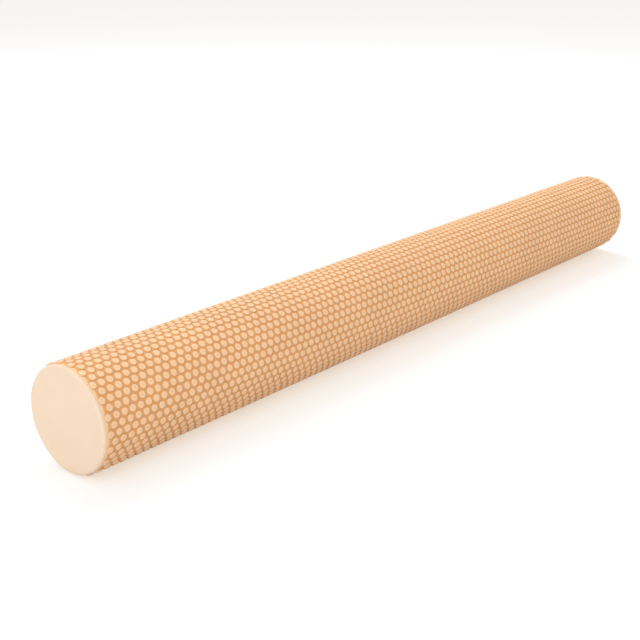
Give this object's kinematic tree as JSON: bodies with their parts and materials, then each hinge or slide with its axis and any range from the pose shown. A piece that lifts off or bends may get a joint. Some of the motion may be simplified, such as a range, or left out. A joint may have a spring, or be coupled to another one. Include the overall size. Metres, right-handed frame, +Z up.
{
  "type": "foam roller",
  "caption": "Solid round foam roller for massage and exercise, its outside covered in rows of small round nubs, with a smooth disc on each flat end.",
  "frame": {"origin": "centre of the roller, on its axis and halfway along it", "axes": "+X along the roller's axis from the left disc to the right disc, +Z up as it lies on a floor, +Y across it towards the side that the sheet's seam faces"},
  "size_m": [0.9, 0.0999, 0.1],
  "materials": {
    "skin_foam": "matte closed-cell foam, moulded with small round nubs, light orange",
    "disc_foam": "matte closed-cell foam, cut and smooth, pale peach",
    "core_foam": "matte closed-cell foam boards, sawn and turned, off-white"
  },
  "bodies": {
    "root": {"textured_skin": "skin_foam", "end_disc_left": "disc_foam", "end_disc_right": "disc_foam", "core_board_1": "core_foam", "core_board_2": "core_foam", "core_board_3": "core_foam", "core_board_4": "core_foam"}
  },
  "joints": []
}
